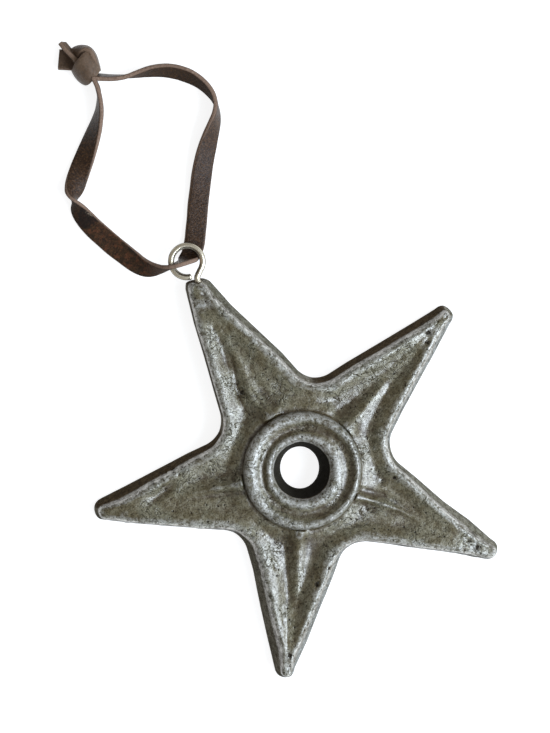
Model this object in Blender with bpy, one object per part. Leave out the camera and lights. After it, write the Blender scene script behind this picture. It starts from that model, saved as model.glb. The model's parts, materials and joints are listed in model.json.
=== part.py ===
"""Star washer ornament: a cast metal star with a wire eye in one tip, hung on a knotted leather lace.

Everything is in metres, +Z up. The star lies on its flat back with its decorated face up, and the arm
that carries the eye points to +Y. The origin is on the resting plane, under the middle of the star and
its eye.
"""
from collections import namedtuple
from math import acos, atan2, cos, pi, radians, sin, tan

import bmesh
import bpy
from mathutils import Matrix, Vector

MM = 0.001
UP = Vector((0, 0, 1))

# The star is cast from a hand-cut pattern, so each arm has its own turn away from the even fifth (degrees),
# reach from the centre, taper on each side of its middle line (degrees) and tip radius.
Arm = namedtuple("Arm", "turn reach taper tip_radius")
ARMS = (
    Arm(-0.8, 60.0 * MM, 15.0, 3.8 * MM),  # carries the eye
    Arm(0.0, 58.4 * MM, 16.3, 3.0 * MM),
    Arm(2.1, 59.2 * MM, 17.3, 3.0 * MM),
    Arm(0.6, 60.7 * MM, 15.0, 3.0 * MM),
    Arm(-1.4, 61.1 * MM, 15.0, 3.0 * MM),
)
NOTCH_RADIUS = 7.7 * MM

# The cross-section of an arm, from its side wall to the rib along its middle.
RIM_HEIGHT = 9.0 * MM
TIP_HEIGHT = 7.5 * MM
TIP_FALL_LENGTH = 16.0 * MM
WALL_RUN = 1.8 * MM
EDGE_ROUND = 0.5 * MM
CREST_WIDTH = 1.2 * MM
SLOPE_RUN = 4.2 * MM
VALLEY_DEPTH = 2.7 * MM
RIB_HEIGHT = 2.1 * MM
RIB_HALF_WIDTH = 2.2 * MM
RIB_END = 38.0 * MM

# The hub is turned: a raised ring, a groove, an inner lip and a hole that narrows towards the back.
HUB_RADIUS = 16.9 * MM
RING_RADIUS = 14.9 * MM
RING_HALF_WIDTH = 0.7 * MM
RING_HEIGHT = 11.6 * MM
GROOVE_RADIUS = 12.0 * MM
GROOVE_HEIGHT = 10.0 * MM
LIP_RADIUS = 9.4 * MM
LIP_HALF_WIDTH = 0.6 * MM
LIP_HEIGHT = 11.1 * MM
MOUTH_RADIUS = 7.9 * MM
MOUTH_HEIGHT = 10.2 * MM
HOLE_RADIUS = 5.6 * MM

# The wire eye: a ring, one straight leg and a shank sunk in the tip of the first arm.
WIRE_RADIUS = 0.85 * MM
EYE_RADIUS = 4.35 * MM
EYE_HEIGHT = 3.75 * MM
EYE_STANDOFF = 5.4 * MM
EYE_OFFSET = -0.5 * MM
EYE_LEG_START = 0.15 * MM
EYE_BEND = 1.2 * MM
EYE_OPEN_END = 247
SHANK_LENGTH = 14.0 * MM
SHANK_POINT = 2.5 * MM
SHANK_CLEARANCE = 0.3 * MM

# The leather lace, a flat strip.
LACE_WIDTH = 5.8 * MM
LACE_THICKNESS = 1.2 * MM
LACE_CHAMFER = 0.25 * MM
LACE_SECTIONS = 116
REST_GAP = 0.2 * MM

# The lace's route from the knot down to the eye, in millimetres from the middle of the eye: x, y, roll of the
# strip (0 lies flat, 90 stands on edge) and lift over its resting height.
ROUTE_DOWN = (
    (5.3, 55.0, 72, 0.5),
    (9.0, 52.8, 74, 0.2),
    (12.4, 51.7, 84, 0),
    (15.5, 50.9, 97, 0),
    (18.8, 49.7, 107, 0),
    (22.1, 47.9, 114, 0),
    (24.9, 45.3, 117, 0),
    (27.3, 42.2, 112, 0),
    (28.7, 38.6, 104, 0),
    (29.1, 35.2, 94, 0),
    (28.3, 32.2, 82, 0),
    (26.1, 29.5, 66, 0),
    (23.1, 26.9, 49, 0),
    (20.4, 24.3, 35, 0),
    (17.5, 21.3, 22, 0),
    (14.5, 17.4, 14, 0),
    (11.5, 13.5, 7, 0),
    (8.6, 9.3, 8, 0.1),
)
# Through the eye: a place on one edge of the strip and the place opposite on its other edge (x, y and z).
ROUTE_THROUGH = (
    ((3.5, 6.4, 1.2), (7.6, 3.5, 1.0)),
    ((2.2, 4.5, 1.2), (6.0, 1.6, 1.2)),
    ((1.0, 2.9, 1.1), (4.6, 0.5, 1.2)),
    ((-0.4, 1.8, 1.3), (2.9, -0.3, 2.0)),
    ((-1.2, 1.2, 2.0), (1.9, -0.6, 3.8)),
    ((-1.6, 0.9, 3.2), (1.6, -0.8, 6.2)),
    ((-2.2, 0.8, 4.8), (0.6, -0.7, 8.6)),
    ((-3.5, 0.7, 5.8), (-1.2, -0.4, 10.2)),
    ((-5.1, 0.8, 5.8), (-3.4, 0.0, 10.7)),
    ((-7.2, 1.0, 4.6), (-6.1, 1.2, 9.6)),
    ((-9.9, 1.2, 2.6), (-8.1, 3.1, 7.4)),
    ((-12.7, 2.5, 1.2), (-9.9, 6.2, 4.4)),
)
# From the eye back up to the knot, given as the first part is.
ROUTE_UP = (
    (-13.3, 8.7, -162, 0.5),
    (-15.4, 14.1, -172, 0),
    (-16.9, 18.2, -168, 0),
    (-18.1, 22.3, -160, 0),
    (-18.8, 26.0, -142, 0),
    (-19.0, 28.5, -118, 0),
    (-18.7, 30.2, -88, 0),
    (-18.0, 31.4, -56, 0),
    (-16.8, 32.8, -30, 0),
    (-14.9, 34.9, -8, 0),
    (-12.5, 36.9, 6, 0),
    (-9.7, 39.1, 20, 0),
    (-5.9, 42.2, 38, 0),
    (-2.7, 45.0, 55, 0),
    (0.0, 47.8, 72, 0),
    (1.8, 50.9, 84, 0),
    (2.5, 52.8, 90, 0.3),
    (2.8, 54.0, 92, 0.5),
)

# The knot: a lump where both ends are tied together, with the two cut ends standing out of it.
# Places are in millimetres from the middle of the eye.
KNOT_CENTRE = (2.8, 59.8)
KNOT_LENGTH = 10.8 * MM
KNOT_WIDTH = 7.6 * MM
KNOT_HEIGHT = 7.2 * MM
KNOT_TURN = 69
TAIL_ROUTES = (
    ((2.4, 60.6, 96, 0.8), (1.4, 63.0, 102, 0.9), (0.7, 66.0, 105, 1.0), (0.3, 68.6, 105, 1.0)),
    ((2.4, 62.2, -6, 0.6), (0.4, 63.6, -10, 0.4), (-1.2, 64.6, -12, 0.2), (-2.7, 65.6, -12, 0)),
)

FrameOfArm = namedtuple("FrameOfArm", "axis side taper reach point tip_centre tip_radius")
Station = namedtuple("Station", "foot inward span arm")


def clear_scene():
    for obj in list(bpy.data.objects):
        bpy.data.objects.remove(obj, do_unlink=True)


def smooth_step(value):
    value = min(1.0, max(0.0, value))
    return value * value * (3 - 2 * value)


def heading(angle):
    return Vector((cos(angle), sin(angle), 0))


def frame_of_arm(number):
    """An arm's middle line, its anticlockwise side, and where its two straight sides would meet."""
    arm = ARMS[number]
    angle = pi / 2 + number * 2 * pi / len(ARMS) + radians(arm.turn)
    taper = radians(arm.taper)
    point = arm.reach + arm.tip_radius * (1 / sin(taper) - 1)
    tip_centre = point - arm.tip_radius / sin(taper)
    return FrameOfArm(heading(angle), heading(angle + pi / 2), taper, arm.reach, point, tip_centre,
                      arm.tip_radius)


def crossing(start_a, way_a, start_b, way_b):
    """Where two lines in the plane z = 0 cross, as the distance along the first."""
    gap = start_b - start_a
    return (gap.x * way_b.y - gap.y * way_b.x) / (way_a.x * way_b.y - way_a.y * way_b.x)


def half_arm(number, side):
    """Stations along one side of an arm, from the middle of its tip to the middle of the notch.

    side is 1 for the anticlockwise side and -1 for the other. Each station runs from a point of the
    outline inwards, square to it, to the arm's middle line or to the foot of the hub.
    """
    tip_steps = 4
    side_steps = 12
    fan_steps = 6
    arm = frame_of_arm(number)
    neighbour = frame_of_arm((number + side) % len(ARMS))
    lateral = arm.side * side
    along_side = lateral * sin(arm.taper) - arm.axis * cos(arm.taper)
    along_other = -neighbour.side * side * sin(neighbour.taper) - neighbour.axis * cos(neighbour.taper)
    tip_point = arm.axis * arm.point
    notch = crossing(tip_point, along_side, neighbour.axis * neighbour.point, along_other)
    half_notch = 0.5 * acos(along_side.dot(along_other))
    side_end = notch - NOTCH_RADIUS / tan(half_notch)
    outward = -(along_side + along_other).normalized()
    notch_centre = tip_point + along_side * notch + outward * NOTCH_RADIUS / sin(half_notch)
    notch_turn = pi / 2 - half_notch
    rounded = NOTCH_RADIUS * notch_turn

    def foot_at(along):
        if along <= side_end:
            return tip_point + along_side * along
        angle = notch_turn - (along - side_end) / NOTCH_RADIUS
        square = outward.cross(UP) * side
        return notch_centre - outward * NOTCH_RADIUS * cos(angle) + square * NOTCH_RADIUS * sin(angle)

    stations = []
    for step in range(tip_steps + 1):
        angle = (pi / 2 - arm.taper) * step / tip_steps
        out = arm.axis * cos(angle) + lateral * sin(angle)
        foot = arm.axis * arm.tip_centre + out * arm.tip_radius
        stations.append(Station(foot, -out, arm.tip_radius, number))
    # The square from a point of the side meets the middle line at (point - along / cos(taper)).
    straight = min(side_end, (arm.point - HUB_RADIUS) * cos(arm.taper))
    last_on_line = arm.point - straight / cos(arm.taper)
    notch_way = (notch_centre - outward * NOTCH_RADIUS).normalized()
    full_turn = acos(max(-1.0, min(1.0, notch_way.dot(arm.axis))))
    to_hub = last_on_line - HUB_RADIUS
    hub_start = straight + (side_end + rounded - straight) * to_hub / (to_hub + full_turn * HUB_RADIUS)
    for step in range(1, side_steps + 1):
        meeting = arm.tip_centre - (arm.tip_centre - HUB_RADIUS) * step / side_steps
        along = (arm.point - meeting) * cos(arm.taper)
        if meeting < last_on_line:
            along = straight + (hub_start - straight) * (last_on_line - meeting) / to_hub
        foot = foot_at(along)
        gap = arm.axis * meeting - foot
        stations.append(Station(foot, gap.normalized(), gap.length, number))
    # From there on the stations end on the foot of the hub, and turn evenly towards the notch.
    for step in range(1, fan_steps + 1):
        foot = foot_at(hub_start + (side_end + rounded - hub_start) * step / fan_steps)
        turn = full_turn * step / fan_steps
        gap = (arm.axis * cos(turn) + lateral * sin(turn)) * HUB_RADIUS - foot
        stations.append(Station(foot, gap.normalized(), gap.length, number))
    return stations


def outline_stations():
    """All stations anticlockwise round the star. The last of each half is the first of the next half."""
    stations = []
    for number in range(len(ARMS)):
        stations += half_arm(number, -1)[:0:-1]
        stations += half_arm(number, 1)[:-1]
    return stations


def station_levels(span):
    """Distances in from the outline at which a station has a point, from the foot of the wall inwards."""
    middle = WALL_RUN + CREST_WIDTH / 2
    slope = CREST_WIDTH / 2 + SLOPE_RUN
    scale = min(1.0, 0.9 * (span - middle) / (slope + RIB_HALF_WIDTH))
    return (0, WALL_RUN, middle,
            middle + scale * CREST_WIDTH / 2,
            middle + scale * (CREST_WIDTH / 2 + SLOPE_RUN / 2),
            middle + scale * slope,
            span - scale * RIB_HALF_WIDTH,
            span - scale * RIB_HALF_WIDTH / 2,
            span)


def relief(point, distance, arm):
    """Height of the decorated face at a point, which lies a distance in from the outline."""
    along = point.dot(arm.axis)
    across = abs(point.dot(arm.side))
    if distance <= 0:
        return 0.0
    tip_share = smooth_step((along - (arm.reach - TIP_FALL_LENGTH)) / TIP_FALL_LENGTH)
    crest = RIM_HEIGHT + (TIP_HEIGHT - RIM_HEIGHT) * tip_share
    middle = WALL_RUN + CREST_WIDTH / 2
    edge = EDGE_ROUND * min(1.0, abs(distance - middle) / (CREST_WIDTH / 2)) ** 2
    if distance > middle + CREST_WIDTH / 2:
        edge = EDGE_ROUND
    valley = VALLEY_DEPTH * smooth_step((distance - middle) / (CREST_WIDTH / 2 + SLOPE_RUN))
    rib_share = smooth_step((RIB_END - along) / (RIB_END - HUB_RADIUS))
    rib = RIB_HEIGHT * rib_share * (1 - smooth_step(across / RIB_HALF_WIDTH))
    return crest - max(edge if distance < middle else 0.0, valley) + rib


def hub_profile():
    """Radius and height of the turned hub, from just inside its foot to the back of the hole."""
    return (
        (HUB_RADIUS - 0.4 * (HUB_RADIUS - RING_RADIUS - RING_HALF_WIDTH), 0.5 * (RIM_HEIGHT + RING_HEIGHT)),
        (RING_RADIUS + RING_HALF_WIDTH, RING_HEIGHT - EDGE_ROUND / 2),
        (RING_RADIUS, RING_HEIGHT),
        (RING_RADIUS - RING_HALF_WIDTH, RING_HEIGHT - EDGE_ROUND / 2),
        (0.5 * (RING_RADIUS - RING_HALF_WIDTH + GROOVE_RADIUS), 0.4 * RING_HEIGHT + 0.6 * GROOVE_HEIGHT),
        (GROOVE_RADIUS, GROOVE_HEIGHT),
        (0.5 * (GROOVE_RADIUS + LIP_RADIUS + LIP_HALF_WIDTH), 0.6 * GROOVE_HEIGHT + 0.4 * LIP_HEIGHT),
        (LIP_RADIUS + LIP_HALF_WIDTH, LIP_HEIGHT - EDGE_ROUND / 4),
        (LIP_RADIUS - LIP_HALF_WIDTH, LIP_HEIGHT - EDGE_ROUND / 4),
        (MOUTH_RADIUS, MOUTH_HEIGHT),
        (HOLE_RADIUS, 0.0),
    )


def footprint_centre():
    """Middle of the box round the star and its eye, seen from above, with the star's centre at zero."""
    feet = [station.foot for station in outline_stations()]
    eye = eye_centre_on_arm()
    reach = EYE_RADIUS + WIRE_RADIUS
    low_x = min(min(foot.x for foot in feet), eye.x - reach)
    high_x = max(max(foot.x for foot in feet), eye.x + reach)
    low_y = min(foot.y for foot in feet)
    high_y = max(max(foot.y for foot in feet), eye.y + reach)
    return Vector(((low_x + high_x) / 2, (low_y + high_y) / 2, 0))


def eye_centre_on_arm():
    """Middle of the eye's ring, from the star's centre, at the eye's height."""
    arm = frame_of_arm(0)
    return arm.axis * (arm.reach + EYE_STANDOFF) + arm.side * EYE_OFFSET + UP * EYE_HEIGHT


def new_object(name, mesh, material, sharp_angle=40):
    obj = bpy.data.objects.new(name, mesh)
    bpy.context.scene.collection.objects.link(obj)
    mesh.materials.append(material)
    mesh.shade_smooth()
    mesh.set_sharp_from_angle(angle=radians(sharp_angle))
    return obj


def material(name, colour, roughness, metallic):
    surface = bpy.data.materials.new(name)
    surface.use_nodes = True
    shader = surface.node_tree.nodes["Principled BSDF"]
    shader.inputs["Base Color"].default_value = (*colour, 1)
    shader.inputs["Roughness"].default_value = roughness
    shader.inputs["Metallic"].default_value = metallic
    return surface


def star_mesh(centre):
    """The casting: relief over each arm, the turned hub, the drafted wall and the flat back."""
    frames = [frame_of_arm(number) for number in range(len(ARMS))]
    work = bmesh.new()
    rows = []
    for station in outline_stations():
        arm = frames[station.arm]
        row = []
        for distance in station_levels(station.span):
            point = station.foot + station.inward * distance
            height = relief(point, distance, arm)
            row.append(work.verts.new(point + UP * height))
        on_hub = abs((station.foot + station.inward * station.span).length - HUB_RADIUS) < 0.001 * MM
        if on_hub:
            way = (station.foot + station.inward * station.span).normalized()
            for radius, height in hub_profile():
                row.append(work.verts.new(way * radius + UP * height))
        rows.append(row)
    for row, following in zip(rows, rows[1:] + rows[:1]):
        for level in range(min(len(row), len(following)) - 1):
            work.faces.new((row[level], following[level], following[level + 1], row[level + 1]))
    bmesh.ops.remove_doubles(work, verts=work.verts, dist=0.002 * MM)
    rim = [edge for edge in work.edges if edge.is_boundary]
    bmesh.ops.triangle_fill(work, edges=rim, use_beauty=True, use_dissolve=False, normal=-UP)
    bmesh.ops.triangulate(work, faces=work.faces)
    bmesh.ops.recalc_face_normals(work, faces=work.faces)
    bmesh.ops.translate(work, verts=work.verts, vec=centre)
    mesh = bpy.data.meshes.new("star_casting")
    work.to_mesh(mesh)
    work.free()
    return mesh


def shank_cutter(centre):
    """A guide cylinder that bores the tip of the first arm for the shank."""
    arm = frame_of_arm(0)
    depth = SHANK_LENGTH + SHANK_CLEARANCE
    length = depth + EYE_STANDOFF
    middle = arm.axis * (arm.reach - depth + length / 2) + arm.side * EYE_OFFSET + UP * EYE_HEIGHT
    work = bmesh.new()
    turn = arm.axis.to_track_quat("Z", "Y").to_matrix().to_4x4() @ Matrix.Rotation(pi / 16, 4, "Z")
    bmesh.ops.create_cone(work, cap_ends=True, segments=16, radius1=WIRE_RADIUS + SHANK_CLEARANCE,
                          radius2=WIRE_RADIUS + SHANK_CLEARANCE, depth=length,
                          matrix=Matrix.Translation(middle + centre) @ turn)
    mesh = bpy.data.meshes.new("shank_bore_guide")
    work.to_mesh(mesh)
    work.free()
    cutter = bpy.data.objects.new("shank_bore_guide", mesh)
    bpy.context.scene.collection.objects.link(cutter)
    cutter.hide_render = True
    cutter.display_type = "WIRE"
    return cutter


def build_star(centre):
    cast_metal = material("cast metal", (0.30, 0.29, 0.25), 0.45, 0.85)
    star = new_object("star_casting", star_mesh(centre), cast_metal, 50)
    bore = star.modifiers.new("shank bore", "BOOLEAN")
    bore.operation = "DIFFERENCE"
    bore.solver = "EXACT"
    bore.object = shank_cutter(centre)
    return star


def eye_path():
    """Points along the wire from the point of the shank to the open end of the ring."""
    arm = frame_of_arm(0)
    middle = eye_centre_on_arm()
    corner = arm.axis * (arm.reach + EYE_LEG_START) + arm.side * EYE_OFFSET + UP * EYE_HEIGHT
    gap = corner - middle
    away = atan2(gap.y, gap.x)
    touch = away + acos(EYE_RADIUS / gap.length)
    touching = middle + heading(touch) * EYE_RADIUS
    leg = (touching - corner).normalized()
    points = [(corner - arm.axis * (EYE_LEG_START + SHANK_LENGTH), 0.25)]
    points.append((corner - arm.axis * (EYE_LEG_START + SHANK_LENGTH - SHANK_POINT), 1.0))
    points.append((corner - arm.axis * 2.5 * EYE_BEND, 1.0))
    for step in range(7):
        share = step / 6
        before = corner - arm.axis * EYE_BEND * (1 - share)
        after = corner + leg * EYE_BEND * share
        points.append((before.lerp(after, share), 1.0))
    open_end = away + radians(EYE_OPEN_END - 270) + 2 * pi
    steps = 40
    for step in range(steps + 1):
        angle = touch + (open_end - touch) * step / steps
        points.append((middle + heading(angle) * EYE_RADIUS, 1.0))
    return points


def tube_mesh(name, points, radius, sides):
    """A round tube through (place, share of the radius) points, with flat ends."""
    work = bmesh.new()
    rings = []
    places = [place for place, _ in points]
    for index, (place, share) in enumerate(points):
        before = places[max(0, index - 1)]
        after = places[min(len(places) - 1, index + 1)]
        way = (after - before).normalized()
        square = way.cross(UP).normalized()
        ring = []
        for corner in range(sides):
            angle = 2 * pi * corner / sides
            out = square * cos(angle) + UP * sin(angle)
            ring.append(work.verts.new(place + out * radius * share))
        rings.append(ring)
    join_rings(work, rings)
    mesh = bpy.data.meshes.new(name)
    work.to_mesh(mesh)
    work.free()
    return mesh


def join_rings(work, rings):
    """Quads between neighbouring rings of points and a flat cap on each end."""
    sides = len(rings[0])
    for ring, following in zip(rings, rings[1:]):
        for corner in range(sides):
            after = (corner + 1) % sides
            work.faces.new((ring[corner], ring[after], following[after], following[corner]))
    work.faces.new(rings[0][::-1])
    work.faces.new(rings[-1])
    bmesh.ops.triangulate(work, faces=work.faces)
    bmesh.ops.recalc_face_normals(work, faces=work.faces)


def build_eye(centre):
    bright_wire = material("bright wire", (0.72, 0.69, 0.62), 0.25, 1.0)
    points = [(place + centre, share) for place, share in eye_path()]
    return new_object("screw_eye", tube_mesh("screw_eye", points, WIRE_RADIUS, 10), bright_wire)


def resting_height(roll):
    """Height of the strip's middle when its lowest edge lies on the resting plane."""
    half_width = LACE_WIDTH / 2 * abs(sin(roll))
    half_thickness = LACE_THICKNESS / 2 * abs(cos(roll))
    return REST_GAP + half_width + half_thickness


def smooth_curve(controls, count):
    """Points of a uniform cubic spline that runs close by its control points, from the first to the last."""
    padded = [2 * controls[0] - controls[1]] + controls + [2 * controls[-1] - controls[-2]]
    spans = len(padded) - 3
    points = []
    for index in range(count):
        place = spans * index / (count - 1)
        span = min(int(place), spans - 1)
        t = place - span
        a, b, c, d = padded[span:span + 4]
        points.append((a * (1 - t) ** 3 + b * (3 * t ** 3 - 6 * t ** 2 + 4)
                       + c * (-3 * t ** 3 + 3 * t ** 2 + 3 * t + 1) + d * t ** 3) / 6)
    return points


def laid_rows(route):
    """Middle of the strip and direction across it for a route that lies on the resting plane."""
    rows = []
    for index, (x, y, roll, lift) in enumerate(route):
        before = route[max(0, index - 1)]
        after = route[min(len(route) - 1, index + 1)]
        way = Vector((after[0] - before[0], after[1] - before[1], 0)).normalized()
        roll = radians(roll)
        place = Vector((x * MM, y * MM, resting_height(roll) + lift * MM))
        rows.append((place, way.cross(UP) * cos(roll) + UP * sin(roll)))
    return rows


def edged_rows(route):
    """The same for a route given by the places of both edges of the strip."""
    rows = []
    for right, left in route:
        right = Vector(right) * MM
        left = Vector(left) * MM
        rows.append(((right + left) / 2, (right - left).normalized()))
    return rows


def strip_sections(rows, eye, count):
    """Sections of the strip along its rows: place, direction across the strip and direction out of its face."""
    floor = Vector((eye.x, eye.y, 0))
    middles = smooth_curve([floor + place for place, _ in rows], count)
    acrosses = smooth_curve([across for _, across in rows], count)
    sections = []
    for index, middle in enumerate(middles):
        way = middles[min(count - 1, index + 1)] - middles[max(0, index - 1)]
        across = acrosses[index].normalized()
        sections.append((middle, across, across.cross(way).normalized()))
    return sections


def strip_mesh(name, sections):
    """A flat strip with chamfered edges through its sections."""
    half_width = LACE_WIDTH / 2
    half_thickness = LACE_THICKNESS / 2
    inner_width = half_width - LACE_CHAMFER
    inner_thickness = half_thickness - LACE_CHAMFER
    corners = ((half_width, inner_thickness), (inner_width, half_thickness),
               (-inner_width, half_thickness), (-half_width, inner_thickness),
               (-half_width, -inner_thickness), (-inner_width, -half_thickness),
               (inner_width, -half_thickness), (half_width, -inner_thickness))
    work = bmesh.new()
    rings = []
    for middle, across, out in sections:
        rings.append([work.verts.new(middle + across * x + out * y) for x, y in corners])
    join_rings(work, rings)
    mesh = bpy.data.meshes.new(name)
    work.to_mesh(mesh)
    work.free()
    return mesh


def build_lace(eye, leather):
    rows = laid_rows(ROUTE_DOWN) + edged_rows(ROUTE_THROUGH) + laid_rows(ROUTE_UP)
    sections = strip_sections(rows, eye, LACE_SECTIONS)
    return new_object("lace_loop", strip_mesh("lace_loop", sections), leather, 30)


def knot_mesh(eye):
    """The lump of the knot, an egg-like solid flattened where it rests."""
    work = bmesh.new()
    bmesh.ops.create_uvsphere(work, u_segments=20, v_segments=12, radius=0.5)
    for vert in work.verts:
        vert.co.z = max(vert.co.z, -0.44)
    stretch = Matrix.Diagonal((KNOT_LENGTH, KNOT_WIDTH, KNOT_HEIGHT, 1))
    x, y = KNOT_CENTRE
    place = Vector((eye.x + x * MM, eye.y + y * MM, REST_GAP + 0.44 * KNOT_HEIGHT))
    turn = Matrix.Rotation(radians(KNOT_TURN), 4, "Z")
    bmesh.ops.transform(work, verts=work.verts, matrix=Matrix.Translation(place) @ turn @ stretch)
    bmesh.ops.dissolve_limit(work, angle_limit=radians(0.5), verts=work.verts, edges=work.edges)
    bmesh.ops.triangulate(work, faces=work.faces)
    mesh = bpy.data.meshes.new("lace_knot")
    work.to_mesh(mesh)
    work.free()
    return mesh


def build_knot(eye, leather):
    knot = new_object("lace_knot", knot_mesh(eye), leather)
    for number, route in enumerate(TAIL_ROUTES):
        sections = strip_sections(laid_rows(route), eye, 8)
        tail = bpy.data.objects.new(f"tail_guide_{number}", strip_mesh("tail_guide", sections))
        bpy.context.scene.collection.objects.link(tail)
        tail.hide_render = True
        tail.display_type = "WIRE"
        union = knot.modifiers.new(f"tail {number}", "BOOLEAN")
        union.operation = "UNION"
        union.solver = "EXACT"
        union.object = tail
    return knot


def main():
    clear_scene()
    centre = -footprint_centre()
    eye = centre + eye_centre_on_arm()
    leather = material("brown leather", (0.060, 0.040, 0.030), 0.6, 0.0)
    leather_end = material("knotted leather", (0.060, 0.040, 0.030), 0.6, 0.0)
    build_star(centre)
    build_eye(centre)
    build_lace(eye, leather)
    build_knot(eye, leather_end)


main()
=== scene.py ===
"""Looks of the washer star ornament: the cast star's worn relief, its wire eye and the knotted leather lace.

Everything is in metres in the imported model's frame. The star lies on its back on z = 0 and the arm that
carries the eye points to +Y. Tables of places on the star, the eye and the lace are in millimetres.
"""
import json
import random
from collections import namedtuple
from math import acos, atan2, cos, exp, pi, radians, sin, tan

import bmesh
import bpy
import numpy as np
from mathutils import Matrix, Vector, noise
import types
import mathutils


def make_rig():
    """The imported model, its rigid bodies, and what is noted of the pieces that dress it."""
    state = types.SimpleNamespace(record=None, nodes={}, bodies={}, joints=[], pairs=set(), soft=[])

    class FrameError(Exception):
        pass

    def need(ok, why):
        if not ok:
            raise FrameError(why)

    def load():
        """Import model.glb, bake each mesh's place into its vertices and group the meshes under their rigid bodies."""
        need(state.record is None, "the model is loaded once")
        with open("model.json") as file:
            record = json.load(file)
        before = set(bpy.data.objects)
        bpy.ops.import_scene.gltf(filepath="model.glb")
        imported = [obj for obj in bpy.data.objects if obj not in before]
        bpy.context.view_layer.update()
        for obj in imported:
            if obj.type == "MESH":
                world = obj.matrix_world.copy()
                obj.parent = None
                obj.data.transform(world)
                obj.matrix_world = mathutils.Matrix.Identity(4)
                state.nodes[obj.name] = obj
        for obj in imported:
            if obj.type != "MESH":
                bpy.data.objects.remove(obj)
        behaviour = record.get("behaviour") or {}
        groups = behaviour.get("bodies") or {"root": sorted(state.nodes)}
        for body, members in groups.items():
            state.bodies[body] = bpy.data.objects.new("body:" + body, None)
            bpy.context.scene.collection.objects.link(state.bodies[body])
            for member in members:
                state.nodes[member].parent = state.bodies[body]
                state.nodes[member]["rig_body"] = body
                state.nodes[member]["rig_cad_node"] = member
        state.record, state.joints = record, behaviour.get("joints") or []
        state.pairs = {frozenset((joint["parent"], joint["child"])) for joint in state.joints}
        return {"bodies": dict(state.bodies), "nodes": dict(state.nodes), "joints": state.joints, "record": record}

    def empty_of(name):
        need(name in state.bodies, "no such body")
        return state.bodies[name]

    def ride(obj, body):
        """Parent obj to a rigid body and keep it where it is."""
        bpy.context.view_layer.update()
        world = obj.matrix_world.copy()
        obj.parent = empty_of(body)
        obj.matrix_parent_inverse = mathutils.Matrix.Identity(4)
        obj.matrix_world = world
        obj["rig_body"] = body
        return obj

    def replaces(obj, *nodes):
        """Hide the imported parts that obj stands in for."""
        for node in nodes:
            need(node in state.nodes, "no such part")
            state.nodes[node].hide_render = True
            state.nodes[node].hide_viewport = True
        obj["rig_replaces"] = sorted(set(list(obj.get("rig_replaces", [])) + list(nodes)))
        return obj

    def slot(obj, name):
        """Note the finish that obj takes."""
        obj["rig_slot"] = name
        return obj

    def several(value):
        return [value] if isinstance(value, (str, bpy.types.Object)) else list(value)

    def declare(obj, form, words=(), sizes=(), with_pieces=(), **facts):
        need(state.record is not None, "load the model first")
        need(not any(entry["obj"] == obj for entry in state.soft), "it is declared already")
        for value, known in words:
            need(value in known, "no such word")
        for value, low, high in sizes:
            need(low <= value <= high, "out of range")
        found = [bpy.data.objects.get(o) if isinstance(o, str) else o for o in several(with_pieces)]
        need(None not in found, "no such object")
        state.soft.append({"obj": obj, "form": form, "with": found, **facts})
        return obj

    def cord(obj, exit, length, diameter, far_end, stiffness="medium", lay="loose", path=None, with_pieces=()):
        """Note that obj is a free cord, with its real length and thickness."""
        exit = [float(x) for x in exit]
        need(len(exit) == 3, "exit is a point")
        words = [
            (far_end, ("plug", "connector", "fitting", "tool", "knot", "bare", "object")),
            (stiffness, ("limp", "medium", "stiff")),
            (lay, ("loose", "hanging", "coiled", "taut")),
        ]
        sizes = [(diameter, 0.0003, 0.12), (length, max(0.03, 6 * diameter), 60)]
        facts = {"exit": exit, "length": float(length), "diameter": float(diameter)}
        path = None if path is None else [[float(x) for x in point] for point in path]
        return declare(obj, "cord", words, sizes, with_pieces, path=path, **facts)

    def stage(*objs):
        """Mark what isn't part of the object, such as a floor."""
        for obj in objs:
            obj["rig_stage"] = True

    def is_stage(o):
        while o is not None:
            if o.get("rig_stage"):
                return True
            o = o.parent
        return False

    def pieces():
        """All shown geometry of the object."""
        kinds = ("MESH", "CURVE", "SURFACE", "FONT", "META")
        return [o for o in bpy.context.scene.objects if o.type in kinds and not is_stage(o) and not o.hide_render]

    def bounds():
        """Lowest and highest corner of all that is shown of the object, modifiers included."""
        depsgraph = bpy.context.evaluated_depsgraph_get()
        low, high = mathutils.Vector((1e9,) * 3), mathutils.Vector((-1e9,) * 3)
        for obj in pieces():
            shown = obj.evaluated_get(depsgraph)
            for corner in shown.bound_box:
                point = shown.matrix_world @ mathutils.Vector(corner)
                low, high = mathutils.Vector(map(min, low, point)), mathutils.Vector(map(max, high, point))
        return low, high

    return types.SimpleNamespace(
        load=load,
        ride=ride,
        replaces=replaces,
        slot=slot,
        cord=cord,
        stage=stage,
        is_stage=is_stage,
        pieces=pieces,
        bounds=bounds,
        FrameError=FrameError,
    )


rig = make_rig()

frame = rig.load()
CAD_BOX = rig.bounds()

MM = 0.001
UP = Vector((0, 0, 1))

# Centre of the star's hub and middle of the wire eye, seen from above.
STAR_CENTRE = Vector((-1.494 * MM, -10.471 * MM, 0))
EYE_CENTRE = Vector((-0.083 * MM, 54.912 * MM, 0))

# The camera looks almost straight down. Its picture is turned so that the eye's arm points up and left.
PHOTO_SIZE = (550, 733)
CAMERA_DISTANCE = 420 * MM
PIXELS_PER_MM = 3.568
STAR_PIXEL = (299.5, 467.3)
PHOTO_TURN = 30.0
CAMERA_TILT = (0.050, -0.026)

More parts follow.
